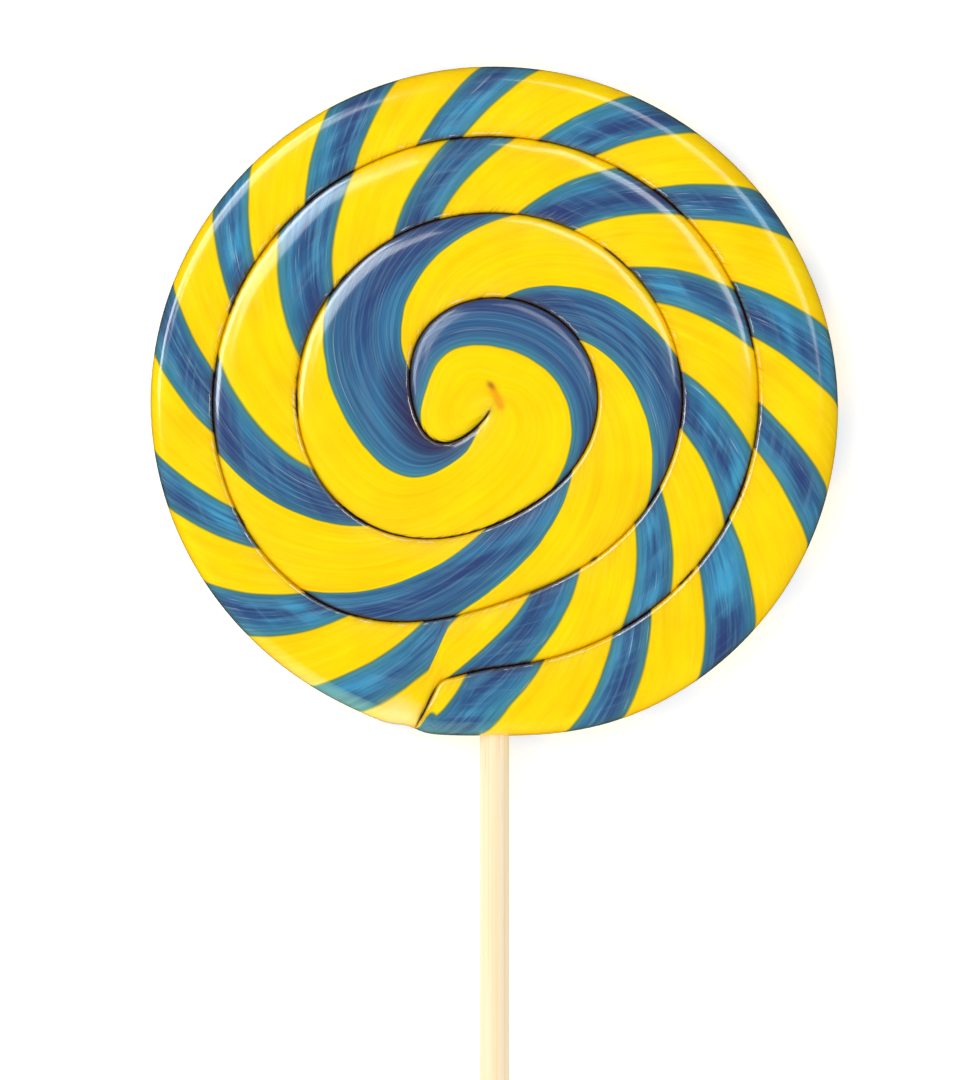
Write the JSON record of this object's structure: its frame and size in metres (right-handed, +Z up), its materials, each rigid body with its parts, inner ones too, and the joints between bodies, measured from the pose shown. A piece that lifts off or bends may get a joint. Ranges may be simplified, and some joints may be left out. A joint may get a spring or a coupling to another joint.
{
  "type": "swirl lollipop",
  "caption": "Flat round lollipop: a two-colour twisted rope of boiled sugar coiled into a disc, on a plain wooden stick.",
  "frame": {"origin": "under the coil's eye, in the plane of the flat back that it lies on", "axes": "+Z up, out of the shown face; the stick runs towards -Y"},
  "size_m": [0.0999, 0.2273, 0.009],
  "materials": {
    "boiled_sugar": "glossy boiled sugar, yellow with translucent blue stripes",
    "pale_wood": "plain sanded birch with fine lengthwise grain"
  },
  "bodies": {
    "root": {"candy_coil": "boiled_sugar", "wooden_stick": "pale_wood"}
  },
  "joints": []
}
